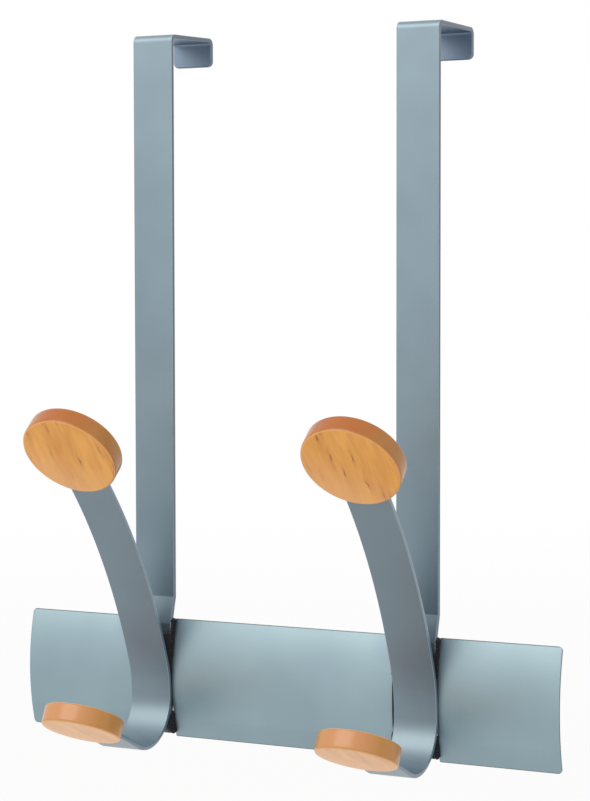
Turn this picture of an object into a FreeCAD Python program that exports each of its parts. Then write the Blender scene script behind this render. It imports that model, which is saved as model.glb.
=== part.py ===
import FreeCAD, Part
import math
import os

import Sketcher

# Over door hook: two bent steel straps go over the top edge of a door and carry a rack of curved
# panels with two double hooks. Each hook is one bent strip with a wooden disc on both of its ends.
# Millimetres. +Z is up and +Y points into the door. The origin lies midway between the straps,
# where the door's front face meets its top edge.

SIZES = {
    # Flat steel strip, the same stock for the straps and the hooks
    "strip_width": 20.0,
    "strip_thickness": 2.0,
    "strip_edge_radius": 0.4,
    # Straps
    "strap_spacing": 130.0,
    "door_gap": 35.0,
    "strap_bend_radius": 1.2,
    "left_lip_length": 13.0,
    "right_lip_length": 14.0,
    "lip_corner_radius": 2.5,
    "left_bridge_tilt": 2.0,
    "right_bridge_tilt": 0.0,
    # The strap steps forward off the door and ends in a tab between the panels
    "kick_drop": 251.5,
    "kick_angle": 15.0,
    "kick_bend_radius": 2.0,
    "kick_offset": 3.2,
    "tab_drop": 313.7,
    # Curved panels
    "rack_width": 262.0,
    "panel_top_drop": 262.0,
    "panel_height": 53.4,
    "panel_bulge": 3.9,
    "panel_thickness": 1.2,
    "panel_corner_radius": 1.8,
    "panel_seam": 0.3,
    "seam_corner_radius": 0.6,
    # Hook strip: a J at the bottom, a short upright on the tab and an arm that leans forward.
    # Both hooks sit a little to the right of their tabs.
    "left_hook_shift": 0.4,
    "right_hook_shift": 1.4,
    "hook_upright_drop": 296.7,
    "hook_upright_length": 2.0,
    "hook_inner_radius": 18.7,
    "hook_rise_angle": 26.0,
    "arm_bend_angle": 19.5,
    "left_arm_bend_radius": 39.0,
    "right_arm_bend_radius": 57.0,
    "arm_sweep_angle": 21.5,
    "left_arm_sweep_radius": 255.0,
    "right_arm_sweep_radius": 236.0,
    # Wooden discs, each slotted from its rim for the end of the strip
    "upper_disc_diameter": 43.0,
    "lower_disc_diameter": 35.0,
    "disc_thickness": 8.4,
    "disc_edge_radius": 1.0,
    "upper_disc_reach": 24.0,
    "lower_disc_reach": 34.5,
    "upper_insert_depth": 22.0,
    "lower_insert_depth": 18.0,
    "slot_clearance": 0.1,
    "slot_end_clearance": 0.5,
    # Weld beads in the seams between a tab and the panels, laid drop by drop from the corners in
    "weld_width": 3.0,
    "weld_drop_pitch": 1.6,
    "weld_depth": 1.6,
    "upper_weld_drop": 264.2,
    "lower_weld_drop": 311.7,
    "upper_weld_drops": 9,
    "lower_weld_drops": 5,
}

# An edge this near to a place counts as lying on it
CLOSE = 0.01

doc = FreeCAD.newDocument("OverDoorHook")
sheet = doc.addObject("Spreadsheet::Sheet", "Sizes")
for row, (alias, size) in enumerate(SIZES.items(), start=1):
    sheet.set(f"A{row}", alias)
    sheet.set(f"B{row}", str(size))
    sheet.setAlias(f"B{row}", alias)
doc.recompute()


def cells(formula):
    """The formula with each size in it written as a reference to its cell."""
    for alias in sorted(SIZES, key=len, reverse=True):
        formula = formula.replace(f"<{alias}>", f"Sizes.{alias}")
    return formula


def number(formula):
    """What a formula comes to with the sizes as they are."""
    return float(sheet.evalExpression(cells(formula)))


def bind(item, prop, formula):
    """Ties a property of an object to the sheet."""
    item.setExpression(prop, cells(formula))


def new_body(label, base, turn="0"):
    """A body at base, three formulas, turned about X by the formula turn in degrees."""
    body = doc.addObject("PartDesign::Body", label)
    body.Label = label
    x_axis = FreeCAD.Vector(1, 0, 0)
    place = FreeCAD.Vector(*[number(formula) for formula in base])
    body.Placement = FreeCAD.Placement(place, FreeCAD.Rotation(x_axis, number(turn)))
    for axis, formula in zip("xyz", base):
        bind(body, f"Placement.Base.{axis}", formula)
    if turn != "0":
        bind(body, "Placement.Rotation.Angle", turn)
    return body


def new_sketch(body, name, role):
    """A sketch on one of the body's own origin planes."""
    sketch = body.newObject("Sketcher::SketchObject", name)
    plane = next(item for item in body.Origin.OriginFeatures if item.Role == role)
    sketch.AttachmentSupport = [(plane, "")]
    sketch.MapMode = "FlatFace"
    return sketch


def dimension(sketch, name, formula, kind, *geometry):
    """Adds a dimension to a sketch and ties it to the sheet."""
    size = number(formula)
    if kind == "Angle":
        size = math.radians(size)
        formula = f"({formula}) * 1 deg"
    index = sketch.addConstraint(Sketcher.Constraint(kind, *geometry, size))
    sketch.renameConstraint(index, name)
    bind(sketch, f"Constraints.{name}", formula)


def left_of(heading):
    """Unit vector to the left of a heading in degrees."""
    turn = math.radians(heading)
    return FreeCAD.Vector(-math.sin(turn), math.cos(turn), 0)


def near_and_far_curves(path, heading):
    """The two faces of a bent strip, as curves from step to step, and each step's two end points.

    path holds ("run", length) and ("bend", inner radius, angle, side), with side +1 for a turn to
    the left and -1 for a turn to the right. The near face is the one on the left of travel.
    """
    thickness = number("<strip_thickness>")
    normal = FreeCAD.Vector(0, 0, 1)
    point = FreeCAD.Vector(0, 0, 0)
    near, far, steps = [], [], []
    for kind, *values in path:
        left = left_of(heading)
        if kind == "run":
            end = point + FreeCAD.Vector(left.y, -left.x, 0) * number(values[0])
            near.append(Part.LineSegment(point, end))
            far.append(Part.LineSegment(point - left * thickness, end - left * thickness))
        else:
            inner, angle, side = number(values[0]), number(values[1]), values[2]
            near_radius, far_radius = inner, inner + thickness
            if side < 0:
                near_radius, far_radius = far_radius, near_radius
            centre = point + left * (side * near_radius)
            end = centre + FreeCAD.Rotation(normal, side * angle).multVec(point - centre)
            begin = heading - side * 90
            span = [math.radians(a) for a in sorted([begin, begin + side * angle])]
            near.append(Part.ArcOfCircle(Part.Circle(centre, normal, near_radius), *span))
            far.append(Part.ArcOfCircle(Part.Circle(centre, normal, far_radius), *span))
            heading += side * angle
        steps.append((point, end))
        point = end
    return near, far, steps


def strip_outline(sketch, path, heading, upright, level, forward):
    """Draws a bent strip's side view and ties it to the sheet.

    The run with the index upright is vertical, and its near face lies forward of the sketch's
    origin. The near face's point at the end of path step level is as high as the origin.
    """
    near, far, steps = near_and_far_curves(path, heading)
    shift = FreeCAD.Vector(-number(forward) - steps[upright][0].x, -steps[level][1].y, 0)
    for curve in near + far:
        curve.translate(shift)
    near_ids = sketch.addGeometry(near, False)
    far_ids = sketch.addGeometry(far, False)

    # An arc's own start and end swap where the strip turns to the right
    first = [1 if step[0] == "run" or step[3] > 0 else 2 for step in path]
    last = [3 - point for point in first]
    for ids in (near_ids, far_ids):
        for here in range(len(path) - 1):
            after = here + 1
            sketch.addConstraint(
                Sketcher.Constraint("Tangent", ids[here], last[here], ids[after], first[after]))
    for near_id, far_id, point in (
            (near_ids[0], far_ids[0], first[0]), (near_ids[-1], far_ids[-1], last[-1])):
        cap = sketch.addGeometry(
            Part.LineSegment(sketch.getPoint(near_id, point), sketch.getPoint(far_id, point)), False)
        sketch.addConstraint(Sketcher.Constraint("Coincident", cap, 1, near_id, point))
        sketch.addConstraint(Sketcher.Constraint("Coincident", cap, 2, far_id, point))
        sketch.addConstraint(Sketcher.Constraint("Perpendicular", cap, near_id))
        sketch.addConstraint(Sketcher.Constraint("Parallel", far_id, near_id))

    sketch.addConstraint(Sketcher.Constraint("Vertical", near_ids[upright]))
    sketch.addConstraint(Sketcher.Constraint("PointOnObject", near_ids[level], last[level], -1))
    if forward == "0":
        sketch.addConstraint(Sketcher.Constraint("PointOnObject", near_ids[upright], 1, -2))
    else:
        dimension(sketch, "forward", forward, "DistanceX", near_ids[upright], 1, -1, 1)
    for index, (kind, *values) in enumerate(path):
        near_id, far_id = near_ids[index], far_ids[index]
        if kind == "run":
            dimension(sketch, f"run_{index}", values[0], "Distance", near_id)
            continue
        near_radius, far_radius = values[0], f"{values[0]} + <strip_thickness>"
        if values[2] < 0:
            near_radius, far_radius = far_radius, near_radius
        sketch.addConstraint(Sketcher.Constraint("Coincident", near_id, 3, far_id, 3))
        dimension(sketch, f"near_radius_{index}", near_radius, "Radius", near_id)
        # After another bend the far radius follows from the point where the two arcs meet
        if path[index - 1][0] == "run":
            dimension(sketch, f"far_radius_{index}", far_radius, "Radius", far_id)
        dimension(sketch, f"angle_{index}", values[1], "Angle", near_id)


def draw_rectangle(sketch, width, height, low):
    """Four lines, centred across the sketch, from the height low upwards. Line 0 is the lowest."""
    half, bottom, top = number(width) / 2, number(low), number(low) + number(height)
    corners = [FreeCAD.Vector(x, y, 0) for x, y in
               ((-half, bottom), (half, bottom), (half, top), (-half, top))]
    sketch.addGeometry([Part.LineSegment(corners[i], corners[(i + 1) % 4]) for i in range(4)], False)
    for index in range(4):
        sketch.addConstraint(Sketcher.Constraint("Coincident", index, 2, (index + 1) % 4, 1))
    sketch.addConstraint(Sketcher.Constraint("Vertical", 1))
    sketch.addConstraint(Sketcher.Constraint("Vertical", 3))
    sketch.addConstraint(Sketcher.Constraint("Horizontal", 2))
    sketch.addConstraint(Sketcher.Constraint("Symmetric", 0, 1, 0, 2, -2))
    dimension(sketch, "width", width, "Distance", 0)
    dimension(sketch, "height", height, "Distance", 1)


def edges_where(feature, chosen):
    """Names of a feature's edges for which chosen is true."""
    edges = feature.Shape.Edges
    return [f"Edge{index}" for index, edge in enumerate(edges, start=1) if chosen(edge)]


def round_edges(body, base, label, radius, chosen):
    """Rounds the chosen edges of the feature base."""
    fillet = body.newObject("PartDesign::Fillet", label)
    fillet.Base = (base, edges_where(base, chosen))
    bind(fillet, "Radius", radius)
    doc.recompute()
    return fillet


def pad_strip(body, sketch):
    """Gives a strip's side view its width, to both sides of the sketch."""
    pad = body.newObject("PartDesign::Pad", body.Label + "_width")
    pad.Profile = sketch
    pad.SideType = "Symmetric"
    bind(pad, "Length", "<strip_width>")
    doc.recompute()
    return pad


def in_side_face(edge):
    """True for the edges of a strip's two side faces."""
    box = edge.BoundBox
    return box.XLength < CLOSE and abs(abs(box.XMax) - number("<strip_width>") / 2) < CLOSE


def along_side(edge):
    """True for the edges of a strip's side faces, apart from those across its ends."""
    return in_side_face(edge) and abs(edge.Length - number("<strip_thickness>")) > CLOSE


# Straps

KICK_RUN = ("(<kick_offset> - (2 * <kick_bend_radius> + <strip_thickness>)"
            " * (1 - cos(<kick_angle>))) / sin(<kick_angle>)")
KICK_DROP = ("((2 * <kick_bend_radius> + <strip_thickness>) * sin(<kick_angle>)"
             f" + {KICK_RUN} * cos(<kick_angle>))")


def make_strap(name, side, lip_length, tilt):
    """One strap: lip, bridge, leg, step and tab."""
    strap = new_body(name, (f"{side} * <strap_spacing> / 2", "0", "0"))
    sketch = new_sketch(strap, name + "_side_view", "YZ_Plane")
    path = (
        ("run", f"{lip_length} - <strap_bend_radius> - <strip_thickness>"),
        ("bend", "<strap_bend_radius>", f"90 + {tilt}", 1),
        ("run", f"(<door_gap> - 2 * <strap_bend_radius>) / cos({tilt})"),
        ("bend", "<strap_bend_radius>", f"90 - {tilt}", 1),
        ("run", f"<kick_drop> - <strap_bend_radius> * cos({tilt})"),
        ("bend", "<kick_bend_radius>", "<kick_angle>", -1),
        ("run", KICK_RUN),
        ("bend", "<kick_bend_radius>", "<kick_angle>", 1),
        ("run", f"<tab_drop> - <kick_drop> - {KICK_DROP}"),
    )
    strip_outline(sketch, path, heading=90, upright=4, level=2, forward="0")
    pad = pad_strip(strap, sketch)
    lip_face = number("<door_gap>") - CLOSE

    def lip_corner(edge):
        box = edge.BoundBox
        return in_side_face(edge) and box.ZLength < CLOSE and box.YMin > lip_face

    corners = round_edges(strap, pad, name + "_lip_corners", "<lip_corner_radius>", lip_corner)
    round_edges(strap, corners, name + "_edges", "<strip_edge_radius>", along_side)
    return strap


strap_left = make_strap("strap_left", -1, "<left_lip_length>", "<left_bridge_tilt>")
strap_right = make_strap("strap_right", 1, "<right_lip_length>", "<right_bridge_tilt>")


# Hooks

LEFT_HOOK_MIDDLE = "-<strap_spacing> / 2 + <left_hook_shift>"
RIGHT_HOOK_MIDDLE = "<strap_spacing> / 2 + <right_hook_shift>"


def hook_path(bend_radius, sweep_radius):
    """The steps along a hook strip, from the end in the lower disc to the end in the upper one."""
    return (
        ("run", "<lower_disc_reach> - <lower_disc_diameter> / 2 + <lower_insert_depth>"),
        ("bend", "<hook_inner_radius>", "90 + <hook_rise_angle>", 1),
        ("run", "<hook_upright_length>"),
        ("bend", bend_radius, "<arm_bend_angle>", 1),
        ("bend", sweep_radius, "<arm_sweep_angle>", 1),
        ("run", "<upper_disc_reach> - <upper_disc_diameter> / 2 + <upper_insert_depth>"),
    )


def make_hook(name, middle, bend_radius, sweep_radius):
    """One hook strip, flat against the front of its tab."""
    base = (middle, "-<kick_offset> - <strip_thickness>", "-<hook_upright_drop>")
    hook = new_body(name, base)
    sketch = new_sketch(hook, name + "_side_view", "YZ_Plane")
    strip_outline(sketch, hook_path(bend_radius, sweep_radius), heading=-number("<hook_rise_angle>"),
                  upright=2, level=1, forward="<strip_thickness>")
    pad = pad_strip(hook, sketch)
    round_edges(hook, pad, name + "_edges", "<strip_edge_radius>", along_side)
    return hook


hook_left = make_hook(
    "hook_left", LEFT_HOOK_MIDDLE, "<left_arm_bend_radius>", "<left_arm_sweep_radius>")
hook_right = make_hook(
    "hook_right", RIGHT_HOOK_MIDDLE, "<right_arm_bend_radius>", "<right_arm_sweep_radius>")


# Curved panels, rolled about a level axis so that they belly out from the door

PANEL_RADIUS = "((<panel_height> ^ 2 / 4 + <panel_bulge> ^ 2) / (2 * <panel_bulge>))"
TAB_SIDE = "(<strap_spacing> / 2 + <strip_width> / 2 + <panel_seam>)"
TAB_INNER_SIDE = "(<strap_spacing> / 2 - <strip_width> / 2 - <panel_seam>)"


def make_panel(name, centre, length, seam_sides):
    """One panel of the given length with its middle at centre. The sides that face a tab, -1 for
    the left and 1 for the right, have the smaller corners."""
    panel = new_body(name, (centre, f"{PANEL_RADIUS} - <panel_bulge>",
                            "-<panel_top_drop> - <panel_height> / 2"))
    sketch = new_sketch(panel, name + "_section", "XY_Plane")
    draw_rectangle(sketch, length, "<panel_thickness>", f"-{PANEL_RADIUS} - <panel_thickness>")
    dimension(sketch, "radius", PANEL_RADIUS, "DistanceY", 2, 1, -1, 1)
    roll = panel.newObject("PartDesign::Revolution", name + "_roll")
    roll.Profile = sketch
    roll.ReferenceAxis = (sketch, ["H_Axis"])
    roll.Midplane = True
    bind(roll, "Angle", f"2 * asin(<panel_height> / (2 * {PANEL_RADIUS}))")
    doc.recompute()
    thickness = number("<panel_thickness>")

    def corner(edge):
        return edge.BoundBox.XLength < CLOSE and abs(edge.Length - thickness) < CLOSE

    def seam_corner(edge):
        return corner(edge) and math.copysign(1, edge.BoundBox.Center.x) in seam_sides

    def free_corner(edge):
        return corner(edge) and not seam_corner(edge)

    rounded = round_edges(panel, roll, name + "_seam_corners", "<seam_corner_radius>", seam_corner)
    if len(seam_sides) < 2:
        round_edges(panel, rounded, name + "_corners", "<panel_corner_radius>", free_corner)
    return panel


OUTER_LENGTH = f"(<rack_width> / 2 - {TAB_SIDE})"
panel_left = make_panel(
    "panel_left", f"-({TAB_SIDE} + <rack_width> / 2) / 2", OUTER_LENGTH, (1,))
panel_centre = make_panel("panel_centre", "0", f"2 * {TAB_INNER_SIDE}", (-1, 1))
panel_right = make_panel(
    "panel_right", f"({TAB_SIDE} + <rack_width> / 2) / 2", OUTER_LENGTH, (-1,))


# Wooden discs

UPPER_TURN = "(<arm_bend_angle> + <arm_sweep_angle>)"


def upper_disc_centre(bend_radius, sweep_radius):
    """Height and distance forward of an upper disc's middle, along the middle of the arm."""
    bend = f"({bend_radius} + <strip_thickness> / 2)"
    sweep = f"({sweep_radius} + <strip_thickness> / 2)"
    y = ("-<kick_offset> - 1.5 * <strip_thickness>"
         f" - {bend} * (1 - cos(<arm_bend_angle>))"
         f" - {sweep} * (cos(<arm_bend_angle>) - cos({UPPER_TURN}))"
         f" - <upper_disc_reach> * sin({UPPER_TURN})")
    z = ("-<hook_upright_drop> + <hook_upright_length>"
         f" + {bend} * sin(<arm_bend_angle>)"
         f" + {sweep} * (sin({UPPER_TURN}) - sin(<arm_bend_angle>))"
         f" + <upper_disc_reach> * cos({UPPER_TURN})")
    return y, z


def lower_disc_centre():
    """Height and distance forward of a lower disc's middle, along the middle of the J."""
    bend = "(<hook_inner_radius> + <strip_thickness> / 2)"
    y = ("-<kick_offset> - 1.5 * <strip_thickness>"
         f" - {bend} * (1 + sin(<hook_rise_angle>))"
         " - <lower_disc_reach> * cos(<hook_rise_angle>)")
    z = (f"-<hook_upright_drop> - {bend} * cos(<hook_rise_angle>)"
         " + <lower_disc_reach> * sin(<hook_rise_angle>)")
    return y, z


def make_disc(name, middle, centre, turn, diameter, insert_depth):
    """One disc, slotted from its rim at half its thickness."""
    disc = new_body(name, (middle, *centre), turn)
    outline = new_sketch(disc, name + "_outline", "XY_Plane")
    circle = Part.Circle(FreeCAD.Vector(0, 0, 0), FreeCAD.Vector(0, 0, 1), number(diameter) / 2)
    outline.addGeometry(circle, False)
    outline.addConstraint(Sketcher.Constraint("Coincident", 0, 3, -1, 1))
    dimension(outline, "diameter", diameter, "Diameter", 0)
    pad = disc.newObject("PartDesign::Pad", name + "_thickness")
    pad.Profile = outline
    pad.SideType = "Symmetric"
    bind(pad, "Length", "<disc_thickness>")
    doc.recompute()
    rounded = round_edges(disc, pad, name + "_rim", "<disc_edge_radius>",
                          lambda edge: edge.Closed and edge.BoundBox.ZLength < CLOSE)

    mouth = new_sketch(disc, name + "_slot_mouth", "XZ_Plane")
    bind(mouth, "AttachmentOffset.Base.z",
         f"{diameter} / 2 - {insert_depth} - <slot_end_clearance>")
    width = "<strip_width> + 2 * <slot_clearance>"
    height = "<strip_thickness> + 2 * <slot_clearance>"
    draw_rectangle(mouth, width, height, f"-({height}) / 2")
    dimension(mouth, "below", f"({height}) / 2", "DistanceY", 0, 1, -1, 1)
    doc.recompute()
    slot = disc.newObject("PartDesign::Pocket", name + "_slot")
    slot.Profile = mouth
    slot.Type = "ThroughAll"
    slot.Reversed = True
    doc.recompute()
    cut = rounded.Shape.Volume - slot.Shape.Volume
    full = number(width) * number(height) * number(f"{insert_depth} + <slot_end_clearance>")
    if not full / 2 < cut < full:
        raise ValueError(f"{name}: the slot takes {cut:.0f} of {full:.0f} cubic millimetres")
    return disc


UPPER_SIZES = ("<upper_disc_diameter>", "<upper_insert_depth>")
LOWER_SIZES = ("<lower_disc_diameter>", "<lower_insert_depth>")
UPPER_TILT = f"90 + {UPPER_TURN}"
LOWER_TILT = "180 - <hook_rise_angle>"
disc_upper_left = make_disc(
    "disc_upper_left", LEFT_HOOK_MIDDLE,
    upper_disc_centre("<left_arm_bend_radius>", "<left_arm_sweep_radius>"), UPPER_TILT, *UPPER_SIZES)
disc_upper_right = make_disc(
    "disc_upper_right", RIGHT_HOOK_MIDDLE,
    upper_disc_centre("<right_arm_bend_radius>", "<right_arm_sweep_radius>"), UPPER_TILT, *UPPER_SIZES)
disc_lower_left = make_disc(
    "disc_lower_left", LEFT_HOOK_MIDDLE, lower_disc_centre(), LOWER_TILT, *LOWER_SIZES)
disc_lower_right = make_disc(
    "disc_lower_right", RIGHT_HOOK_MIDDLE, lower_disc_centre(), LOWER_TILT, *LOWER_SIZES)


# Weld beads: drops of metal in the seam between a tab and the panel beside it

def make_weld_beads(name, side, neighbours):
    """Four beads, two in each seam of one tab, cut to meet what they join. An upper bead runs down
    from its first drop and a lower one up."""
    drops = []
    for seam_side, seam in ((-1, "left"), (1, "right")):
        for height, way in (("upper", -1), ("lower", 1)):
            for place in range(round(number(f"<{height}_weld_drops>"))):
                drop = doc.addObject("Part::Sphere", f"{name}_{height}_{seam}_{place}")
                bind(drop, "Radius", "<weld_width> / 2")
                bind(drop, "Placement.Base.x", f"{side} * <strap_spacing> / 2 + {seam_side}"
                     " * (<strip_width> + <panel_seam>) / 2")
                bind(drop, "Placement.Base.y", "-<kick_offset> - <strip_thickness> + <weld_depth>")
                bind(drop, "Placement.Base.z",
                     f"{way * place} * <weld_drop_pitch> - <{height}_weld_drop>")
                drops.append(drop)
    drops_together = doc.addObject("Part::MultiFuse", name + "_drops")
    drops_together.Shapes = drops
    neighbours_together = doc.addObject("Part::Compound", name + "_neighbours")
    neighbours_together.Links = neighbours
    beads = doc.addObject("Part::Cut", name)
    beads.Label = name
    beads.Base = drops_together
    beads.Tool = neighbours_together
    doc.recompute()
    return beads


weld_beads_left = make_weld_beads(
    "weld_beads_left", -1, [strap_left, panel_left, panel_centre])
weld_beads_right = make_weld_beads(
    "weld_beads_right", 1, [strap_right, panel_centre, panel_right])


# Check and write each piece

doc.recompute()
for item in doc.Objects:
    if "Invalid" in item.State or "Error" in item.State:
        raise ValueError(f"{item.Label} did not build: {item.State}")

pieces = [strap_left, strap_right, hook_left, hook_right, panel_left, panel_centre, panel_right,
          disc_upper_left, disc_upper_right, disc_lower_left, disc_lower_right,
          weld_beads_left, weld_beads_right]
for piece in pieces:
    if piece.Shape.isNull() or not piece.Shape.isValid():
        raise ValueError(f"{piece.Label} has no sound shape")
os.makedirs("parts", exist_ok=True)
for piece in pieces:
    piece.Shape.exportStep(f"parts/{piece.Label}.step")
    box = piece.Shape.BoundBox
    print(f"{piece.Label}: {len(piece.Shape.Solids)} solid, {piece.Shape.Volume:.0f} mm3, "
          f"x {box.XMin:.1f} to {box.XMax:.1f}, y {box.YMin:.1f} to {box.YMax:.1f}, "
          f"z {box.ZMin:.1f} to {box.ZMax:.1f}")
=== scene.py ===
import math

import bpy
import numpy as np
from mathutils import Matrix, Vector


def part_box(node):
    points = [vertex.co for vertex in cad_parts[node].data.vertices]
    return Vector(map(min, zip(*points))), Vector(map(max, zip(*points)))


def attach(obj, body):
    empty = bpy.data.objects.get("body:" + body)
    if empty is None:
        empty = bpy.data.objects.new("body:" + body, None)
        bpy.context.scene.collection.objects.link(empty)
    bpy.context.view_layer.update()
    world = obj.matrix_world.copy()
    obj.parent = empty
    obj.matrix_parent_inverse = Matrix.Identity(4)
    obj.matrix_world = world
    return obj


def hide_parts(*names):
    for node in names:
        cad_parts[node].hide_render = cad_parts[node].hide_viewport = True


# Over door hook. Sizes are in millimetres and become metres in each mesh. +Z is up and +Y points
# into the door.

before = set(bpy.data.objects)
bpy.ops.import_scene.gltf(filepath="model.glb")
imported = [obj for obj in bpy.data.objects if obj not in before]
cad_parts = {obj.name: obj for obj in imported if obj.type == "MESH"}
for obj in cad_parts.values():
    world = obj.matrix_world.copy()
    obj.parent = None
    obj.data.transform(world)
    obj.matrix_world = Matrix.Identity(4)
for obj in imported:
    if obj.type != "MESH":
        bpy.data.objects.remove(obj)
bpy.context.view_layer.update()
scene = bpy.context.scene


# Straps
# Each strap is one flat bar of mild steel, bent cold: a short lip behind the door, a bridge over
# its top edge, a long leg, a step forward off the door, and a tab that the hook is welded to.

MM = 0.001
STRIP_THICKNESS = 2.0
STRIP_EDGE_RADIUS = 0.4
DOOR_GAP = 35.0
STRAP_BEND_RADIUS = 1.2
LIP_CORNER_RADIUS = 2.5
LEG_LENGTH = 251.5
KICK_ANGLE = 15.0
KICK_BEND_RADIUS = 2.0
KICK_OFFSET = 3.2
TAB_BOTTOM_DROP = 313.7
STRAP_SPACING = 130.0

# How the surfaces are divided: rows along a strip, points round its edges, and their smoothing
ROW_PITCH = 3.0
ROW_TURN = 4.0
JOINT_MARGIN = 0.4
END_ROWS = 9
EDGE_TURNS = np.radians(np.arange(0, 91, 22.5))
ACROSS_FLAT = np.array([0.97, 0.6, 0.2, -0.2, -0.6, -0.97])
CAP_RADIUS = 0.02
SHARP_ANGLE = math.radians(50)
BURR_WIDTH = 0.9

STEEL_COLOUR = "#788d99"
STEEL_SHADE = "#6f838f"
STEEL_CUT = "#4a5d6c"
# The unground side's mill finish, darkened further as painted shade, such as inside the lip
STEEL_UNGROUND_AND_SHADE = "#6d8298"
# Pale grey of the painted highlight on the rounded arrises
STEEL_ARRIS_HIGHLIGHT = "#b9c9d2"
STEEL_ROUGHNESS = 0.5
ROUGHNESS_SPREAD = 0.03
LACQUER_ROUGHNESS = 0.38
LACQUER_IOR = 1.6

# Belt lines are about 0.1 mm apart, too fine to show, so they are drawn 0.4 mm apart
BELT_LINE_LENGTH = 45.0
BELT_LINE_WIDTH = 0.4
BELT_LINE_DEPTH = 0.02
CLOUD_WIDTH = 30.0
LINE_SHARE = 0.3
LINE_RELIEF = 0.15
# How strongly the arrises get their painted highlight
ARRIS_HIGHLIGHT_SHARE = 0.5

# Most values of a noise lie between these
NOISE_LOW = 0.3
NOISE_HIGH = 0.7

# Near-black weld soot, which is also painted shade in the crevices between hook, tab and panels
SOOT_AND_SHADE_COLOUR = "#1d1c22"
SOOT_AND_SHADE_STRENGTH = 0.97
SOOT_AND_SHADE_BEHIND = 0.35
SOOT_AND_SHADE_ROUGHNESS = 0.9
SOOT_AND_SHADE_SPECK = 2.0
SOOT_AND_SHADE_RAGGED = 2.5
SOOT_AND_SHADE_FADE = 4.0
TEMPER_BROWN = "#5b4f5c"
TEMPER_AND_SHADE_STRENGTH = 0.38

# Welds in a strap's tab: distance from its middle, drop, reach of the soot and painted shade,
# reach of the temper
TAB_WELDS = [(10, 273, 6, 18), (10, 288, 14, 16), (10, 309, 4, 7)]


def bend(inner_radius, turn):
    """A bend as the length of its middle line and its turn in degrees, positive to the left."""
    return (inner_radius + STRIP_THICKNESS / 2) * math.radians(abs(turn)), turn


def bent_line(heading, steps, distances):
    """Middle line of a strip bent in the Y-Z plane: y, z and heading at each distance.

    Each step is a length and a turn. Within a step of curvature k, the point u from the step's
    start is a chord away, of length u * sin(k * u / 2) / (k * u / 2), in the direction of the
    step's first heading plus k * u / 2.
    """
    y, z, headings = np.zeros((3, len(distances)))
    step_start, step_y, step_z, step_heading = 0.0, 0.0, 0.0, math.radians(heading)
    for length, turn in steps:
        curvature = math.radians(turn) / length
        rest = np.append(distances, step_start + length) - step_start
        half_turn = curvature * rest / 2
        chord = rest * np.sinc(half_turn / np.pi)
        line_y = step_y + chord * np.cos(step_heading + half_turn)
        line_z = step_z + chord * np.sin(step_heading + half_turn)
        beyond = distances >= step_start
        y[beyond], z[beyond] = line_y[:-1][beyond], line_z[:-1][beyond]
        headings[beyond] = (step_heading + 2 * half_turn[:-1])[beyond]
        step_start += length
        step_y, step_z = line_y[-1], line_z[-1]
        step_heading += math.radians(turn)
    return y, z, headings


def row_distances(steps, end_radii):
    """Where the rows of a strip's surface go: even ones, a pair beside each joint of two steps,
    and rows that crowd towards both ends as the sine of equal angles, for the rounded ends.
    """
    ends = np.concatenate([[0.0], np.cumsum([length for length, turn in steps])])
    rows = []
    for start, end, (length, turn) in zip(ends[:-1], ends[1:], steps):
        count = max(2, math.ceil(max(length / ROW_PITCH, abs(turn) / ROW_TURN)) + 1)
        rows.append(np.linspace(start, end, count))
        margin = min(JOINT_MARGIN, length / 3)
        rows.append([start + margin, end - margin])
    crowding = 1 - np.sin(np.linspace(0, np.pi / 2, END_ROWS))
    for radius in end_radii[0]:
        rows.append(radius * crowding)
    for radius in end_radii[1]:
        rows.append(ends[-1] - radius * crowding)
    return np.unique(np.concatenate(rows).round(3))


def inset(radius, depth):
    """How far a quarter-round edge has drawn in at a depth from its end, as a circle gives it."""
    left = np.clip(radius - depth, 0, radius)
    return radius - np.sqrt(radius ** 2 - left ** 2)


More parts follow.
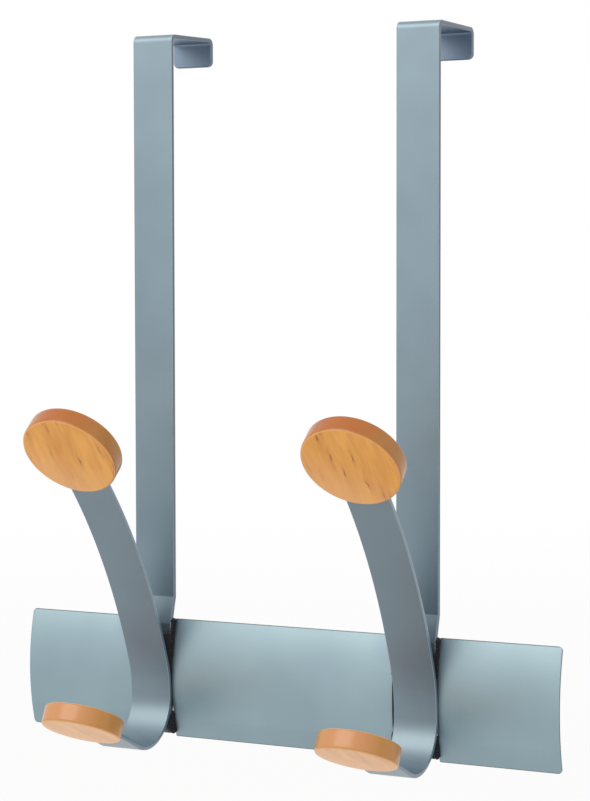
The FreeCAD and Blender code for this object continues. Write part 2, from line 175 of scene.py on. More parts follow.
def bent_plate(name, node, heading, steps, thickness, edge_radius, corner_radii):
    """A bent strip or sheet that stands for a node: a rounded rectangle carried along its line.

    Around each row, a corner's centre plus edge_radius * (cos, sin) gives its rounded edge. Near
    both ends the half width draws in by the corner radius, and the edge radius shrinks to a point.
    The corner radii are pairs, for the left and the right side, at the line's start and its end.
    The whole is moved to the middle of the node's box, and takes its width from it.
    """
    low, high = (np.array(corner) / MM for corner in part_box(node))
    rows = row_distances(steps, [(*radii, edge_radius) for radii in corner_radii])
    total = sum(length for length, turn in steps)
    y, z, headings = bent_line(heading, steps, rows)
    left_half, right_half = ((high[0] - low[0]) / 2 - inset(corner_radii[0][side], rows)
                             - inset(corner_radii[1][side], total - rows) for side in (0, 1))
    from_end = np.minimum(rows, total - rows)
    radius = np.maximum(edge_radius - inset(edge_radius, from_end), CAP_RADIUS)

    corner = np.ones_like(EDGE_TURNS)
    flat = np.ones_like(ACROSS_FLAT)
    side_x = np.concatenate([corner, ACROSS_FLAT, -corner, -corner, -ACROSS_FLAT, corner])
    side_n = np.concatenate([corner, flat, corner, -corner, -flat, -corner])
    quarter = np.pi / 2
    angle = np.concatenate([EDGE_TURNS, flat * quarter, EDGE_TURNS + quarter,
                            EDGE_TURNS + 2 * quarter, flat * 3 * quarter, EDGE_TURNS + 3 * quarter])
    half_width = np.where(side_x > 0, right_half[:, None], left_half[:, None])
    across = side_x * (half_width - edge_radius) + radius[:, None] * np.cos(angle)
    depth = side_n * (thickness / 2 - edge_radius) + radius[:, None] * np.sin(angle)
    points = np.stack([across, y[:, None] - depth * np.sin(headings)[:, None],
                       z[:, None] + depth * np.cos(headings)[:, None]], -1).reshape(-1, 3)
    points += (low + high) / 2 - (points.min(0) + points.max(0)) / 2

    ring = len(angle)
    index = np.arange(len(rows) * ring).reshape(len(rows), ring)
    after = np.roll(index, -1, axis=1)
    quads = np.stack([index[:-1], index[1:], after[1:], after[:-1]], -1).reshape(-1, 4)
    faces = quads.tolist() + [index[0].tolist(), index[-1][::-1].tolist()]
    piece = new_piece(name, points, faces, node)

    # A point's distance along the strip, across it and through it
    lay = np.stack(np.broadcast_arrays(rows[:, None], across, depth), -1)
    store_vectors(piece, "lay", lay.reshape(-1, 3))
    # How far a point faces sideways, how far it faces out of the strip, and how near an end it is
    end = np.clip(1 - from_end / BURR_WIDTH, 0, 1)[:, None]
    facing = np.stack(np.broadcast_arrays(np.cos(angle) ** 2, np.sin(angle), end), -1)
    store_vectors(piece, "facing", facing.reshape(-1, 3))
    return piece


def new_piece(name, points, faces, node):
    """An object of points in millimetres and faces, which stands for a node of the frame."""
    mesh = bpy.data.meshes.new(name)
    mesh.from_pydata((points * MM).tolist(), [], faces)
    mesh.polygons.foreach_set("use_smooth", np.ones(len(mesh.polygons), bool))
    mesh.set_sharp_from_angle(angle=SHARP_ANGLE)
    mesh.update()
    piece = bpy.data.objects.new(name, mesh)
    scene.collection.objects.link(piece)
    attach(piece, "root")
    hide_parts(node)
    return piece


def store_vectors(piece, name, vectors):
    """Keeps one vector for each point of a piece's mesh, for its material to read."""
    attribute = piece.data.attributes.new(name, "FLOAT_VECTOR", "POINT")
    attribute.data.foreach_set("vector", vectors.astype(np.float32).ravel())


def linear(code):
    """An sRGB hex colour as linear red, green, blue and 1: each channel c becomes
    ((c + 0.055) / 1.055) ** 2.4, or c / 12.92 when it is very dark."""
    channels = [int(code[place:place + 2], 16) / 255 for place in (1, 3, 5)]
    return [c / 12.92 if c <= 0.04045 else ((c + 0.055) / 1.055) ** 2.4 for c in channels] + [1.0]


def add(tree, kind, inputs=None, **settings):
    """Adds a node with its settings. Each input is a value or the output that feeds it."""
    node = tree.nodes.new("ShaderNode" + kind)
    for name, value in settings.items():
        setattr(node, name, value)
    for name, value in (inputs or {}).items():
        if isinstance(value, bpy.types.NodeSocket):
            tree.links.new(value, node.inputs[name])
        else:
            node.inputs[name].default_value = value
    return node


def new_material(name):
    """An empty material and its node tree, with a Principled shader joined to its output."""
    material = bpy.data.materials.new(name)
    material.use_nodes = True
    material.node_tree.nodes.clear()
    shader = add(material.node_tree, "BsdfPrincipled")
    add(material.node_tree, "OutputMaterial", {"Surface": shader.outputs["BSDF"]})
    return material, material.node_tree, shader


def step(tree, value, low, high, top=1.0, bottom=0.0):
    """A value's share of the way from low to high, as a number from bottom to top."""
    return add(tree, "MapRange", {"Value": value, "From Min": low, "From Max": high,
                                  "To Min": bottom, "To Max": top}).outputs[0]


def blend(tree, share, first, second):
    """Two colours mixed by a share that runs from 0 to 1."""
    return add(tree, "Mix", {"Factor": share, 6: first, 7: second}, data_type="RGBA").outputs[2]


def weld_distance(tree, across, drop):
    """How far a point of the surface is, across X and Z, from the nearest weld at a distance from
    a strap's middle and a drop. Folding |x| about that middle brings all the welds together."""
    place = add(tree, "SeparateXYZ", {0: add(tree, "TexCoord").outputs["Object"]})
    from_middle = add(tree, "Math", {0: place.outputs["X"]}, operation="ABSOLUTE")
    from_strap = add(tree, "Math", {0: from_middle.outputs[0], 1: STRAP_SPACING / 2 * MM},
                     operation="SUBTRACT")
    folded = add(tree, "Math", {0: from_strap.outputs[0]}, operation="ABSOLUTE")
    point = add(tree, "CombineXYZ", {"X": folded.outputs[0], "Z": place.outputs["Z"]})
    return add(tree, "VectorMath", {0: point.outputs[0], 1: (across * MM, 0, -drop * MM)},
               operation="DISTANCE").outputs["Value"]


def ground_steel(name, light, shade, cut, ground_side, back_colour, temper_and_shade_colour, welds):
    """Mild steel, belt-ground on its show side and clear lacquered: a satin metal under a smoother
    coat, with faint lines along the strip and cloudy patches. The cut edges are darker, and a
    painted highlight lightens the rounded arrises. The side that wasn't ground is darker, for its
    mill finish and as painted shade. Each weld, given by its distance from the strap's middle, its
    drop and the reach of its soot and of its temper colour, has left its marks around it. The
    near-black soot is also painted shade in the crevices by the hooks, and the panels' blue temper
    is also painted shade beside the hooks."""
    material, tree, shader = new_material(name)
    lay = add(tree, "Attribute", attribute_name="lay").outputs["Vector"]
    facing = add(tree, "SeparateXYZ", {0: add(tree, "Attribute", attribute_name="facing")
                                       .outputs["Vector"]})
    place = add(tree, "TexCoord").outputs["Object"]
    line_scale = (1 / BELT_LINE_LENGTH, 1 / BELT_LINE_WIDTH, 1 / BELT_LINE_WIDTH)
    lines_at = add(tree, "VectorMath", {0: lay, 1: line_scale}, operation="MULTIPLY")
    lines = add(tree, "TexNoise", {"Vector": lines_at.outputs[0], "Scale": 1.0, "Detail": 4.0,
                                   "Roughness": 0.6}).outputs["Fac"]
    clouds = add(tree, "TexNoise", {"Vector": place, "Scale": 1 / (CLOUD_WIDTH * MM),
                                    "Detail": 2.0})
    both = add(tree, "Mix", {"Factor": LINE_SHARE, 2: clouds.outputs["Fac"], 3: lines},
               data_type="FLOAT")
    tone = step(tree, both.outputs[0], NOISE_LOW, NOISE_HIGH)
    base = blend(tree, tone, linear(shade), linear(light))

    # Painted shade and mill finish: the side that wasn't ground, such as the lip under the bridge,
    # is darker
    behind = add(tree, "Math", {0: facing.outputs["Y"], 1: -ground_side}, operation="MULTIPLY")
    back_side = step(tree, behind.outputs[0], 0.2, 0.8)
    base = blend(tree, back_side, base, linear(back_colour))
    edge = add(tree, "Math", {0: facing.outputs["X"], 1: facing.outputs["Z"]}, operation="MAXIMUM")
    # Painted highlight: the rounded arrises along the sides are lightened towards a pale grey
    arris_highlight = step(tree, facing.outputs["X"], 0.05, 0.3, ARRIS_HIGHLIGHT_SHARE)
    base = blend(tree, arris_highlight, base, linear(STEEL_ARRIS_HIGHLIGHT))
    base = blend(tree, step(tree, edge.outputs[0], 0.4, 0.7), base, linear(cut))

    # At its rim the soot and painted shade lie in specks, and behind, where the arc didn't reach,
    # they are thinner
    specks = add(tree, "TexNoise", {"Vector": place, "Scale": 1 / (SOOT_AND_SHADE_SPECK * MM),
                                    "Detail": 2.0})
    ragged = step(tree, specks.outputs["Fac"], NOISE_LOW, NOISE_HIGH, top=SOOT_AND_SHADE_RAGGED * MM)
    soot_and_shade = 0.0
    for across, drop, soot_and_shade_reach, temper_and_shade_reach in welds:
        away = weld_distance(tree, across, drop)
        # Temper colour round each weld; on the panels it is blue and is also painted shade beside
        # the hooks
        temper_and_shade = step(tree, away, soot_and_shade_reach * MM, temper_and_shade_reach * MM, 0.0, TEMPER_AND_SHADE_STRENGTH)
        base = blend(tree, temper_and_shade, base, linear(temper_and_shade_colour))
        # Near-black soot around each weld, also painted shade in the crevice between hook, tab and
        # panels
        uneven = add(tree, "Math", {0: away, 1: ragged}, operation="ADD")
        sooty_and_shaded = step(tree, uneven.outputs[0], soot_and_shade_reach * MM, (soot_and_shade_reach + SOOT_AND_SHADE_FADE) * MM,
                     0.0, SOOT_AND_SHADE_STRENGTH if soot_and_shade_reach else 0.0)
        soot_and_shade = add(tree, "Math", {0: sooty_and_shaded, 1: soot_and_shade}, operation="MAXIMUM").outputs[0]
    thinner = step(tree, back_side, 0, 1, bottom=1.0, top=SOOT_AND_SHADE_BEHIND)
    soot_and_shade = add(tree, "Math", {0: soot_and_shade, 1: thinner}, operation="MULTIPLY").outputs[0]
    base = blend(tree, soot_and_shade, base, linear(SOOT_AND_SHADE_COLOUR))
    unblackened = step(tree, soot_and_shade, 0, 1, 0.0, 1.0)

    satin = step(tree, lines, NOISE_LOW, NOISE_HIGH, bottom=STEEL_ROUGHNESS - ROUGHNESS_SPREAD,
                 top=STEEL_ROUGHNESS + ROUGHNESS_SPREAD)
    satin = add(tree, "Mix", {"Factor": soot_and_shade, 2: satin, 3: SOOT_AND_SHADE_ROUGHNESS}, data_type="FLOAT")
    relief = add(tree, "Bump", {"Height": lines, "Strength": LINE_RELIEF,
                                "Distance": BELT_LINE_DEPTH * MM})
    tree.links.new(unblackened, shader.inputs["Metallic"])
    tree.links.new(unblackened, shader.inputs["Coat Weight"])
    shader.inputs["Coat Roughness"].default_value = LACQUER_ROUGHNESS
    shader.inputs["Coat IOR"].default_value = LACQUER_IOR
    tree.links.new(base, shader.inputs["Base Color"])
    tree.links.new(satin.outputs[0], shader.inputs["Roughness"])
    tree.links.new(relief.outputs["Normal"], shader.inputs["Normal"])
    return material


kick_turn = math.radians(KICK_ANGLE)
kick_bends = 2 * KICK_BEND_RADIUS + STRIP_THICKNESS
kick_run = (KICK_OFFSET - kick_bends * (1 - math.cos(kick_turn))) / math.sin(kick_turn)
kick_drop = kick_bends * math.sin(kick_turn) + kick_run * math.cos(kick_turn)

strap_steel = ground_steel("belt_ground_steel_strap", STEEL_COLOUR, STEEL_SHADE, STEEL_CUT,
                           -1, STEEL_UNGROUND_AND_SHADE, TEMPER_BROWN, TAB_WELDS)
for side, lip_length, bridge_tilt in (("left", 13.0, 2.0), ("right", 14.0, 0.0)):
    tilt = math.radians(bridge_tilt)
    strap = bent_plate(
        f"{side}_strap", f"strap_{side}", 90,
        [(lip_length - STRAP_BEND_RADIUS - STRIP_THICKNESS, 0),
         bend(STRAP_BEND_RADIUS, 90 + bridge_tilt),
         ((DOOR_GAP - 2 * STRAP_BEND_RADIUS) / math.cos(tilt), 0),
         bend(STRAP_BEND_RADIUS, 90 - bridge_tilt),
         (LEG_LENGTH - STRAP_BEND_RADIUS * math.cos(tilt), 0),
         bend(KICK_BEND_RADIUS, -KICK_ANGLE),
         (kick_run, 0),
         bend(KICK_BEND_RADIUS, KICK_ANGLE),
         (TAB_BOTTOM_DROP - LEG_LENGTH - kick_drop, 0)],
        STRIP_THICKNESS, STRIP_EDGE_RADIUS, [(LIP_CORNER_RADIUS, LIP_CORNER_RADIUS), (0.0, 0.0)])
    strap.data.materials.append(strap_steel)


# Hooks
# Each hook is the same flat bar bent to a J, with a short upright that is welded flat against the
# tab and an arm that leans forward above it. Both of its ends go into wooden discs.

J_RADIUS = 18.7
J_RISE_ANGLE = 26.0
UPRIGHT_LENGTH = 2.0
ARM_BEND_ANGLE = 19.5
ARM_SWEEP_ANGLE = 21.5
LOWER_END_LENGTH = 35.0
UPPER_END_LENGTH = 24.5

HOOK_COLOUR = "#768b96"
HOOK_SHADE = "#70838f"
HOOK_CUT = "#748a98"
# The spot weld behind the upright has left no soot, only its temper colour
HOOK_WELD = (0, 272, 0, 19)

hook_steel = ground_steel("belt_ground_steel_hook", HOOK_COLOUR, HOOK_SHADE, HOOK_CUT,
                          1, HOOK_SHADE, TEMPER_BROWN, [HOOK_WELD])
for side, arm_bend_radius, arm_sweep_radius in (("left", 39.0, 255.0), ("right", 57.0, 236.0)):
    hook = bent_plate(
        f"{side}_hook", f"hook_{side}", -J_RISE_ANGLE,
        [(LOWER_END_LENGTH, 0),
         bend(J_RADIUS, 90 + J_RISE_ANGLE),
         (UPRIGHT_LENGTH, 0),
         bend(arm_bend_radius, ARM_BEND_ANGLE),
         bend(arm_sweep_radius, ARM_SWEEP_ANGLE),
         (UPPER_END_LENGTH, 0)],
        STRIP_THICKNESS, STRIP_EDGE_RADIUS, [(0.0, 0.0), (0.0, 0.0)])
    hook.data.materials.append(hook_steel)


# Panels
# Three pieces of sheet steel, cut with small round corners and rolled so that they belly out from
# the door. The straps' tabs fill the gaps between them, and welds join them there.

PANEL_THICKNESS = 1.2
PANEL_HEIGHT = 53.4
PANEL_BULGE = 3.9
PANEL_CORNER_RADIUS = 1.8
SEAM_CORNER_RADIUS = 0.6
PANEL_EDGE_RADIUS = 0.3
panel_back_radius = (PANEL_HEIGHT ** 2 / 4 + PANEL_BULGE ** 2) / (2 * PANEL_BULGE)
panel_turn = 2 * math.degrees(math.asin(PANEL_HEIGHT / 2 / panel_back_radius))

PANEL_COLOUR = "#8fa7b0"
PANEL_SHADE = "#869da7"
PANEL_CUT = "#3f4d57"
# Blue temper colour of the panels' welds, also painted shade on the panels' corners beside the hooks
TEMPER_BLUE_AND_SHADE = "#6a7990"
PANEL_WELDS = [(10, 266, 0, 12), (10, 309, 0, 6)]

panel_steel = ground_steel("belt_ground_steel_panel", PANEL_COLOUR, PANEL_SHADE, PANEL_CUT,
                           1, STEEL_UNGROUND_AND_SHADE, TEMPER_BLUE_AND_SHADE, PANEL_WELDS)
middle_length = (panel_back_radius + PANEL_THICKNESS / 2) * math.radians(panel_turn)
for place, left_corner, right_corner in (
        ("left", PANEL_CORNER_RADIUS, SEAM_CORNER_RADIUS),
        ("centre", SEAM_CORNER_RADIUS, SEAM_CORNER_RADIUS),
        ("right", SEAM_CORNER_RADIUS, PANEL_CORNER_RADIUS)):
    panel = bent_plate(
        f"{place}_panel", f"panel_{place}", 90 + panel_turn / 2,
        [(middle_length, -panel_turn)], PANEL_THICKNESS, PANEL_EDGE_RADIUS,
        [(left_corner, right_corner), (left_corner, right_corner)])
    panel.data.materials.append(panel_steel)


# Welds
# Runs of weld metal fill the seams between each tab and the panels beside it, drop upon drop, at the
# top and at the bottom. They keep their dark scale, with the blue and purple that heat leaves.

WELD_PITCH = 1.6
WELD_WIDTH = 1.7
WELD_FRONT = -5.1
WELD_BEHIND_PANEL = 0.5
WELD_LEAST_DEPTH = 0.8
WELD_END = 1.4
WELD_WAIST = 0.8
WELD_UNEVEN = 0.1
WELD_UNEVEN_LENGTH = 0.9
WELD_ROW = 0.2
WELD_RING = 20
WELD_RUNS = [(-261.3, -279.3), (-303.4, -314.2)]
PANEL_TOP_DROP = 262.0
SEAM_FROM_MIDDLE = 10.15

WELD_DARK = "#111014"
WELD_LIGHT = "#2b2a38"
SCALE_FLAKE = 0.8
SCALE_RELIEF = 0.2
SCALE_METALLIC = 0.3
SCALE_ROUGHNESS = 0.55
SCALE_SPECULAR = 0.3


def weld_run(seam_x, top, bottom, first):
    """Points and faces of one run of drops down a seam, whose points are numbered from first.

    Each row is an ellipse, from just behind the tab's front to just behind the panel's, whose front
    lies back by the rolled curve. Its size swells as |sin| from drop to drop, and goes as
    sqrt(1 - u ** 2) to a point at both ends.
    """
    height = np.linspace(top, bottom, round((top - bottom) / WELD_ROW))
    from_middle = height + PANEL_TOP_DROP + PANEL_HEIGHT / 2
    panel_front = (panel_back_radius - PANEL_BULGE - PANEL_THICKNESS
                   - np.sqrt(panel_back_radius ** 2 - from_middle ** 2))
    back = np.maximum(panel_front + WELD_BEHIND_PANEL, WELD_FRONT + WELD_LEAST_DEPTH)
    from_end = np.minimum(top - height, height - bottom)
    closing = np.sqrt(1 - np.clip(1 - from_end / WELD_END, 0, 1) ** 2)
    swell = np.abs(np.sin(np.pi * height / WELD_PITCH + seam_x))
    uneven = 1 + WELD_UNEVEN * np.sin(height / WELD_UNEVEN_LENGTH + 2 * seam_x)
    size = closing * (WELD_WAIST + (1 - WELD_WAIST) * swell) * uneven + CAP_RADIUS
    angle = np.linspace(0, 2 * np.pi, WELD_RING, endpoint=False)
    x = seam_x + np.outer(size * WELD_WIDTH / 2, np.cos(angle))
    y = (back + WELD_FRONT)[:, None] / 2 + np.outer(size * (back - WELD_FRONT) / 2, np.sin(angle))
    points = np.stack(np.broadcast_arrays(x, y, height[:, None]), -1).reshape(-1, 3)
    index = first + np.arange(len(points)).reshape(len(height), len(angle))
    after = np.roll(index, -1, axis=1)
    quads = np.stack([index[1:], after[1:], after[:-1], index[:-1]], -1).reshape(-1, 4)
    return points, quads.tolist() + [index[0].tolist(), index[-1][::-1].tolist()]


weld_metal, weld_tree, weld_shader = new_material("weld_scale")
weld_flakes = add(weld_tree, "TexNoise", {
    "Vector": add(weld_tree, "TexCoord").outputs["Object"],
    "Scale": 1 / (SCALE_FLAKE * MM), "Detail": 3.0})
weld_relief = add(weld_tree, "Bump", {"Height": weld_flakes.outputs["Fac"],
                                      "Distance": SCALE_RELIEF * MM})
weld_colour = blend(weld_tree, step(weld_tree, weld_flakes.outputs["Fac"], 0.4, 0.7),
                    linear(WELD_DARK), linear(WELD_LIGHT))
weld_tree.links.new(weld_colour, weld_shader.inputs["Base Color"])
weld_tree.links.new(weld_relief.outputs["Normal"], weld_shader.inputs["Normal"])
weld_shader.inputs["Metallic"].default_value = SCALE_METALLIC
weld_shader.inputs["Roughness"].default_value = SCALE_ROUGHNESS
weld_shader.inputs["Specular IOR Level"].default_value = SCALE_SPECULAR

for side, strap_x in (("left", -STRAP_SPACING / 2), ("right", STRAP_SPACING / 2)):
    weld_points, weld_faces = np.empty((0, 3)), []
    for seam_x in (strap_x - SEAM_FROM_MIDDLE, strap_x + SEAM_FROM_MIDDLE):
        for top, bottom in WELD_RUNS:
            points, faces = weld_run(seam_x, top, bottom, len(weld_points))
            weld_points = np.concatenate([weld_points, points])
            weld_faces += faces
    welds = new_piece(f"{side}_welds", weld_points, weld_faces, f"weld_beads_{side}")
    welds.data.materials.append(weld_metal)


# Wooden discs
# Each disc is turned from beech, with its arrises rounded over, and sawn in from its rim for the end
# of the hook, where it is glued. The grain runs in line with that end, under a clear lacquer.

# Radius of the discs at each level, and how far their grain is turned up from +Y, in degrees
DISC_SIZES = {"upper": (21.5, 131.0), "lower": (17.5, 154.0)}
DISC_THICKNESS = 8.4
DISC_EDGE_RADIUS = 1.0
DISC_POINTS = 96
DISC_EDGE_ROWS = 6
DISC_RIM_ROWS = 5
FACE_RINGS = np.array([0.25, 0.5, 0.75, 0.97])
SLOT_WIDTH = 20.2
SLOT_HEIGHT = 2.2
SLOT_END = 1.0
SAW_PAST_RIM = 1.0

BEECH_LIGHT = "#e3a145"
BEECH_DARK = "#cd872f"
# Pale peach of the painted sheen towards one side of each disc
BEECH_SHEEN = "#e6ab72"
# Pale colour of the painted highlight on the discs' arrises
BEECH_ARRIS_HIGHLIGHT = "#f2b479"
BEECH_FLECK = "#8a4f1c"
UPPER_RIM = "#a56a2a"
UPPER_END = "#ab5f20"
# Painted sheen: the lower discs' rim and end grain are given paler than the upper ones'
LOWER_RIM_SHEEN = "#b57f40"
LOWER_END_SHEEN = "#c58a5c"
LOWER_FLECKS = 0.25
SHEEN_SIDE = np.array([-0.5, -0.85, 0])
FIBRE_SHARE = 0.25
SHEEN_STRENGTH = 0.75
RIM_STRENGTH = 0.85
END_STRENGTH = 0.9
BEECH_ARRIS_HIGHLIGHT_STRENGTH = 0.6
BEECH_ROUGHNESS = 0.5
BEECH_LACQUER_ROUGHNESS = 0.25

# Widths across the grain, lengths along it and depths of the wood's patterns
STREAK_SIZE = (5, 26, 8)
FIBRE_SIZE = (0.7, 12, 0.7)
WAVE_SIZE = (3, 5, 9)
RAY_SPACING = (4, 36)
RAY_WAVE = (0.6, 0.05)
# Where a mark starts to fade and where it ends, as shares of the spacing, and its strength: a soft
# brown streak, and in it a fleck about 0.5 mm wide and 5 mm long
RAY_MARKS = [(0.02, 0.25, 0.35), (0.03, 0.08, 0.9)]


def turned_disc(radius):
    """Points and faces of a disc about the third axis: a profile of distances from the axis and
    heights, turned through equal angles, with one point at the middle of each face."""
    quarter = np.radians(np.linspace(90, 0, DISC_EDGE_ROWS))
    flat = (radius - DISC_EDGE_RADIUS) * FACE_RINGS
    top = DISC_THICKNESS / 2
    out = np.concatenate([flat, radius - DISC_EDGE_RADIUS * (1 - np.cos(quarter))])
    up = np.concatenate([flat * 0 + top, top - DISC_EDGE_RADIUS * (1 - np.sin(quarter))])
    rim = np.linspace(up[-1], -up[-1], DISC_RIM_ROWS)[1:-1]
    out = np.concatenate([out, rim * 0 + radius, out[::-1]])
    up = np.concatenate([up, rim, -up[::-1]])
    angle = np.linspace(0, 2 * np.pi, DISC_POINTS, endpoint=False)
    points = np.stack([out[:, None] * np.cos(angle), out[:, None] * np.sin(angle),
                       np.broadcast_to(up[:, None], (len(up), len(angle)))], -1).reshape(-1, 3)
    index = np.arange(len(points)).reshape(len(out), len(angle))
    after = np.roll(index, -1, axis=1)
    quads = np.stack([index[:-1], index[1:], after[1:], after[:-1]], -1).reshape(-1, 4)
    middle = np.full(len(angle), len(points))
    upper_fan = np.stack([middle, index[0], after[0]], -1)
    lower_fan = np.stack([after[-1], index[-1], middle + 1], -1)
    points = np.concatenate([points, [[0, 0, top], [0, 0, -top]]])
    return points, quads.tolist() + upper_fan.tolist() + lower_fan.tolist()


def sawn_slot(disc, radius, axes, middle):
    """Cuts the slot for the strip into a disc, from its rim to a little past its middle."""
    half_width, half_height = SLOT_WIDTH / 2, SLOT_HEIGHT / 2
    corners = np.array([(x, y, z) for x in (-half_width, half_width)
                        for y in (-radius - SAW_PAST_RIM, SLOT_END)
                        for z in (-half_height, half_height)])
    sides = [(0, 1, 3, 2), (4, 6, 7, 5), (0, 4, 5, 1), (2, 3, 7, 6), (0, 2, 6, 4), (1, 5, 7, 3)]
    saw_mesh = bpy.data.meshes.new("saw")
    saw_mesh.from_pydata(((corners @ axes + middle) * MM).tolist(), [], sides)
    saw = bpy.data.objects.new("saw", saw_mesh)
    scene.collection.objects.link(saw)
    cut = disc.modifiers.new("slot", "BOOLEAN")
    cut.operation = "DIFFERENCE"
    cut.solver = "EXACT"
    cut.object = saw
    sawn = disc.evaluated_get(bpy.context.evaluated_depsgraph_get())
    disc.data = bpy.data.meshes.new_from_object(sawn)
    disc.modifiers.clear()
    disc.data.set_sharp_from_angle(angle=SHARP_ANGLE)
    bpy.data.objects.remove(saw)


def lacquered_beech(name, rim_colour, end_colour, fleck_strength):
    """Beech turned and clear lacquered: warm orange-tan with soft streaks along the grain and thin
    dark flecks, paler towards one side and the hook's strip as a painted sheen, and with a painted
    highlight on the arris. The turned rim has soaked up lacquer and is browner, most of all where
    the grain ends; the lower discs' rims and end grain are given paler, as a painted sheen."""
    material, tree, shader = new_material(name)
    grain = add(tree, "Attribute", attribute_name="grain").outputs["Vector"]
    turned = add(tree, "SeparateXYZ", {0: add(tree, "Attribute", attribute_name="turned")
                                       .outputs["Vector"]}).outputs

    def stretched(size, settings):
        """Noise with the size across the grain, along it and in depth."""
        scale = tuple(1 / part for part in size)
        place = add(tree, "VectorMath", {0: grain, 1: scale}, operation="MULTIPLY").outputs[0]
        return add(tree, "TexNoise", {"Vector": place, "Scale": 1.0, **settings}).outputs

    streaks = stretched(STREAK_SIZE, {"Detail": 2.0, "Distortion": 0.5})["Fac"]
    fibres = stretched(FIBRE_SIZE, {"Detail": 3.0})["Fac"]
    both = add(tree, "Mix", {"Factor": FIBRE_SHARE, 2: streaks, 3: fibres}, data_type="FLOAT")
    wood = blend(tree, step(tree, both.outputs[0], 0.35, 0.65), linear(BEECH_DARK),
                 linear(BEECH_LIGHT))
    # Painted sheen: the wood grows paler towards one side and the hook's strip
    sheen_side = step(tree, turned["Y"], -0.1, 1.0)
    wood = blend(tree, step(tree, sheen_side, 0, 1, SHEEN_STRENGTH), wood, linear(BEECH_SHEEN))

    # The wood's rays show as thin wavy flecks
    wave = stretched(WAVE_SIZE, {"Detail": 1.0})["Color"]
    straight = add(tree, "VectorMath", {0: grain, 1: (1 / RAY_SPACING[0], 1 / RAY_SPACING[1], 0)},
                   operation="MULTIPLY")
    wavy = add(tree, "VectorMath", {0: wave, 1: (*RAY_WAVE, 0), 2: straight.outputs[0]},
               operation="MULTIPLY_ADD")
    rays = add(tree, "TexVoronoi", {"Vector": wavy.outputs[0], "Scale": 1.0},
               voronoi_dimensions="2D")
    chosen = step(tree, add(tree, "SeparateColor", {0: rays.outputs["Color"]}).outputs[0], 0.2, 0.5)
    fewer = add(tree, "Math", {0: chosen, 1: step(tree, sheen_side, 0.3, 0.7, 0.0, fleck_strength)},
                operation="MULTIPLY").outputs[0]
    for near, far, strength in RAY_MARKS:
        mark = step(tree, rays.outputs["Distance"], near, far, 0.0, strength)
        mark = add(tree, "Math", {0: mark, 1: fewer}, operation="MULTIPLY").outputs[0]
        wood = blend(tree, mark, wood, linear(BEECH_FLECK))

    # Rim and end grain colours, then a painted highlight on the arris
    for part, low, high, strength, colour in (("X", 0.1, 0.5, RIM_STRENGTH, rim_colour),
                                              ("X", 0.8, 0.98, END_STRENGTH, end_colour),
                                              ("Z", 0.5, 1.0, BEECH_ARRIS_HIGHLIGHT_STRENGTH, BEECH_ARRIS_HIGHLIGHT)):
        wood = blend(tree, step(tree, turned[part], low, high, strength), wood, linear(colour))
    tree.links.new(wood, shader.inputs["Base Color"])
    shader.inputs["Roughness"].default_value = BEECH_ROUGHNESS
    shader.inputs["Specular IOR Level"].default_value = 0.0
    shader.inputs["Coat Weight"].default_value = 1.0
    shader.inputs["Coat Roughness"].default_value = BEECH_LACQUER_ROUGHNESS
    return material


# The lower discs get paler rim and end colours, a painted sheen
beech = {"upper": lacquered_beech("lacquered_beech_upper", UPPER_RIM, UPPER_END, 1.0),
         "lower": lacquered_beech("lacquered_beech_lower", LOWER_RIM_SHEEN, LOWER_END_SHEEN, LOWER_FLECKS)}
for number, (level, side) in enumerate((("upper", "left"), ("upper", "right"),
                                        ("lower", "left"), ("lower", "right"))):
    radius, grain_turn = DISC_SIZES[level]
    node = f"disc_{level}_{side}"
    low, high = (np.array(corner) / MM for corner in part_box(node))
    middle = (low + high) / 2
    turn = math.radians(grain_turn)
    axes = np.array([[1, 0, 0], [0, math.cos(turn), math.sin(turn)],
                     [0, -math.sin(turn), math.cos(turn)]])
    points, faces = turned_disc(radius)
    disc = new_piece(f"{level}_{side}_disc", points @ axes + middle, faces, node)
    sawn_slot(disc, radius, axes, middle)
    local = np.empty(len(disc.data.vertices) * 3)
    disc.data.vertices.foreach_get("co", local)
    local = (local.reshape(-1, 3) / MM - middle) @ axes.T
    # The grain's own axes, moved for each disc so that no two have the same grain
    store_vectors(disc, "grain", local + 100 * number)
    # How far a point is on the rim, in its end grain, towards the painted sheen and near an arris
    from_axis = np.maximum(np.hypot(local[:, 0], local[:, 1]), 1)
    on_rim = np.clip((from_axis - radius) / DISC_EDGE_RADIUS + 1, 0, 1)
    end_grain = on_rim * (1 + np.abs(local[:, 1]) / from_axis) / 2
    arris = 4 * on_rim * (1 - on_rim)
    store_vectors(disc, "turned", np.stack([end_grain, local @ SHEEN_SIDE / radius, arris], -1))
    disc.data.materials.append(beech[level])


# Studio
# A pale floor below the hanging rack, a soft world, and one large soft lamp at the left.

FLOOR_DROP = 520.0
FLOOR_SIZE = 40000.0
PAPER_COLOUR = "#f2f2f2"
PAPER_NEAR = 0.8
PAPER_FAR = 3.0
PAPER_FAR_SHARE = 0.85
WORLD_DIFFUSE = 0.75
RACK_MIDDLE = np.array([0, 0, -160.0])

floor_mesh = bpy.data.meshes.new("floor")
half_floor = FLOOR_SIZE / 2 * MM
floor_mesh.from_pydata([(x * half_floor, y * half_floor, -FLOOR_DROP * MM)
                        for x, y in ((-1, -1), (1, -1), (1, 1), (-1, 1))], [], [(0, 1, 2, 3)])
floor = bpy.data.objects.new("floor", floor_mesh)
scene.collection.objects.link(floor)


def seen_directly(tree):
    """1 for a ray that shows the background: from the camera, a reflection or a clear piece."""
    path = add(tree, "LightPath")
    seen = add(tree, "Math", {0: path.outputs["Is Camera Ray"], 1: path.outputs["Is Glossy Ray"]},
               operation="MAXIMUM")
    return add(tree, "Math", {0: seen.outputs[0], 1: path.outputs["Is Transmission Ray"]},
               operation="MAXIMUM").outputs[0]


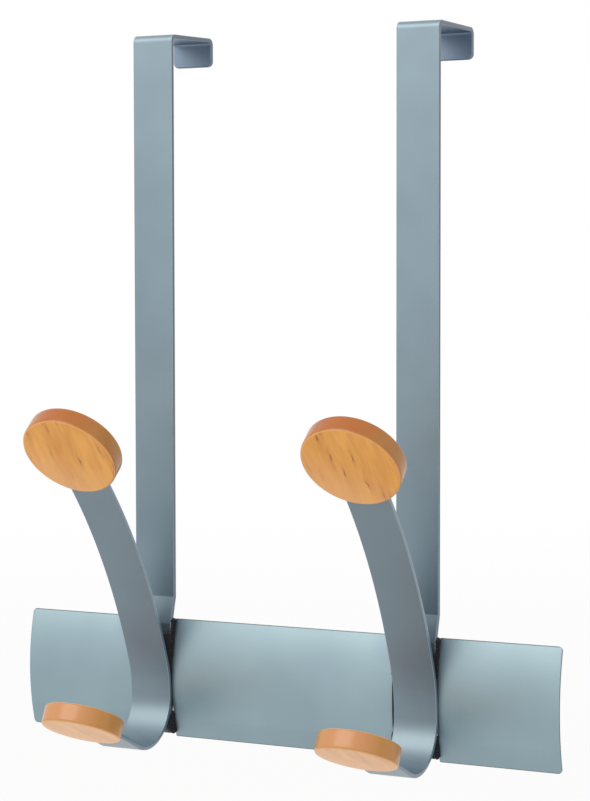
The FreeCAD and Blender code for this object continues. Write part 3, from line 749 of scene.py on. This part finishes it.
paper = bpy.data.materials.new("white_paper")
paper.use_nodes = True
paper_tree = paper.node_tree
paper_tree.nodes.clear()
paper_matt = add(paper_tree, "BsdfDiffuse", {"Color": linear(PAPER_COLOUR)})
paper_white = add(paper_tree, "Emission")
paper_place = add(paper_tree, "TexCoord").outputs["Object"]
paper_reach = add(paper_tree, "VectorMath", {0: paper_place}, operation="LENGTH").outputs["Value"]
paper_share = add(paper_tree, "Math", {
    0: seen_directly(paper_tree),
    1: step(paper_tree, paper_reach, PAPER_NEAR, PAPER_FAR, 1.0, PAPER_FAR_SHARE)},
                  operation="MULTIPLY")
paper_mix = add(paper_tree, "MixShader", {0: paper_share.outputs[0], 1: paper_matt.outputs[0],
                                          2: paper_white.outputs[0]})
add(paper_tree, "OutputMaterial", {"Surface": paper_mix.outputs[0]})
floor_mesh.materials.append(paper)

world = bpy.data.worlds.new("studio")
scene.world = world
world.use_nodes = True
world_tree = world.node_tree
world_tree.nodes.clear()
world_strength = add(world_tree, "MapRange", {"Value": seen_directly(world_tree),
                                              "To Min": WORLD_DIFFUSE, "To Max": 1.0})
sky = add(world_tree, "Background", {"Color": (1, 1, 1, 1),
                                     "Strength": world_strength.outputs[0]})
add(world_tree, "OutputWorld", {"Surface": sky.outputs[0]})


def direction(azimuth, elevation):
    """Unit vector from the object towards a place at that azimuth and elevation in degrees."""
    turn, rise = math.radians(azimuth), math.radians(elevation)
    return np.array([math.sin(turn) * math.cos(rise), -math.cos(turn) * math.cos(rise),
                     math.sin(rise)])


def softbox(name, azimuth, elevation, distance, size, radiance, colour):
    """A square lamp that faces the rack's middle. Its watts are radiance * pi * area."""
    lamp = bpy.data.lights.new(name, "AREA")
    lamp.color = colour
    lamp.size = size * MM
    lamp.energy = radiance * math.pi * lamp.size ** 2
    holder = bpy.data.objects.new(name, lamp)
    place = RACK_MIDDLE + direction(azimuth, elevation) * distance
    holder.matrix_world = looking_back(azimuth, elevation, 0.0, place)
    scene.collection.objects.link(holder)


def looking_back(azimuth, elevation, roll, place):
    """Matrix of a lamp or camera at a place, turned towards the point that it was moved from."""
    back = direction(azimuth, elevation)
    right = np.array([math.cos(math.radians(azimuth)), math.sin(math.radians(azimuth)), 0])
    up = np.cross(back, right)
    turn = math.radians(roll)
    axes = np.array([math.cos(turn) * right + math.sin(turn) * up,
                     math.cos(turn) * up - math.sin(turn) * right, back])
    matrix = np.eye(4)
    matrix[:3, :3] = axes.T
    matrix[:3, 3] = place * MM
    return Matrix(matrix.tolist())


softbox("key_softbox", azimuth=-20, elevation=40, distance=1300, size=1150, radiance=2.45,
        colour=(1.0, 0.95, 0.87))

VIEW_AZIMUTH = 26.482
VIEW_ELEVATION = 3.051
VIEW_ROLL = -0.092
VIEW_DISTANCE = 1011.3
VIEW_RIGHT = 5.131
VIEW_UP = -161.223
FOCAL_PIXELS = 2307.8
PICTURE_HEIGHT = 801
SENSOR = 36.0

camera_data = bpy.data.cameras.new("camera")
camera_data.sensor_width = SENSOR
camera_data.lens = FOCAL_PIXELS * SENSOR / PICTURE_HEIGHT
camera = bpy.data.objects.new("camera", camera_data)
scene.collection.objects.link(camera)
scene.camera = camera
camera_axes = np.array(looking_back(VIEW_AZIMUTH, VIEW_ELEVATION, VIEW_ROLL, np.zeros(3)))[:3, :3]
camera_place = camera_axes @ np.array([VIEW_RIGHT, VIEW_UP, VIEW_DISTANCE])
camera.matrix_world = looking_back(VIEW_AZIMUTH, VIEW_ELEVATION, VIEW_ROLL, camera_place)

scene.view_settings.view_transform = "Standard"
